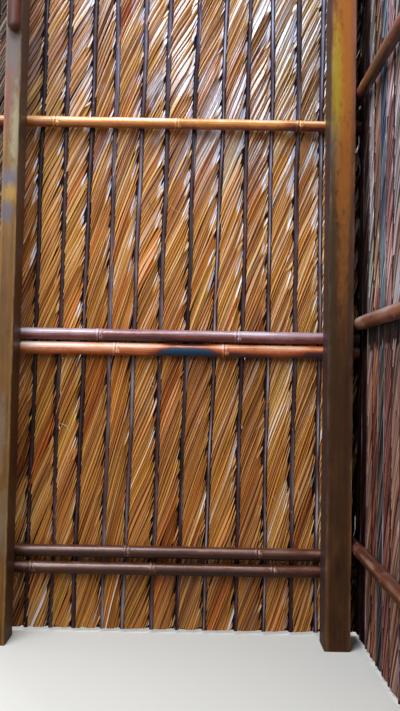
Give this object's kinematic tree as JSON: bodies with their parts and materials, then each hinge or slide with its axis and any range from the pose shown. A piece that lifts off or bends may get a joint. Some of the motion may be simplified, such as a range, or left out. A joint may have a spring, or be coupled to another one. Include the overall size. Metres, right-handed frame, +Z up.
{
  "type": "palm-leaf wall corner",
  "caption": "Corner of two house walls: sawn posts and plates, bamboo rails, and pleated palm fronds standing side by side, clamped by split bamboo.",
  "frame": {"origin": "foot of the corner post, on its centre line", "axes": "+Z up the posts; +X runs along the back wall past the corner to the outside of the side wall; +Y points outwards through the back wall, so the room lies towards -X and -Y"},
  "size_m": [1.2548, 1.1658, 2.41],
  "materials": {
    "varnished_timber": "worn orange-brown varnish",
    "red_pole": "dark red varnish",
    "bamboo": "lacquered, orange to dark red",
    "split_bamboo": "weathered, matt",
    "palm_frond": "glossy lacquered dry leaf with dark ribs"
  },
  "bodies": {
    "root": {"left_post": "varnished_timber", "corner_post": "varnished_timber", "side_post": "varnished_timber", "back_plate": "varnished_timber", "side_plate": "varnished_timber", "post_pole": "red_pole", "back_low_rails": "bamboo", "back_mid_rails": "bamboo", "back_high_rail": "bamboo", "back_top_rail": "bamboo", "side_low_rail": "bamboo", "side_mid_rail": "bamboo", "side_high_rail": "bamboo", "side_top_rail": "bamboo", "back_clamps": "split_bamboo", "side_clamps": "split_bamboo", "back_frond_01": "palm_frond", "back_frond_02": "palm_frond", "back_frond_03": "palm_frond", "back_frond_04": "palm_frond", "back_frond_05": "palm_frond", "back_frond_06": "palm_frond", "back_frond_07": "palm_frond", "back_frond_08": "palm_frond", "back_frond_09": "palm_frond", "back_frond_10": "palm_frond", "back_frond_11": "palm_frond", "back_frond_12": "palm_frond", "back_frond_13": "palm_frond", "back_frond_14": "palm_frond", "back_frond_15": "palm_frond", "side_frond_01": "palm_frond", "side_frond_02": "palm_frond", "side_frond_03": "palm_frond", "side_frond_04": "palm_frond", "side_frond_05": "palm_frond", "side_frond_06": "palm_frond", "side_frond_07": "palm_frond", "side_frond_08": "palm_frond", "side_frond_09": "palm_frond", "side_frond_10": "palm_frond", "side_frond_11": "palm_frond", "side_frond_12": "palm_frond", "side_frond_13": "palm_frond", "side_frond_14": "palm_frond"}
  },
  "joints": []
}
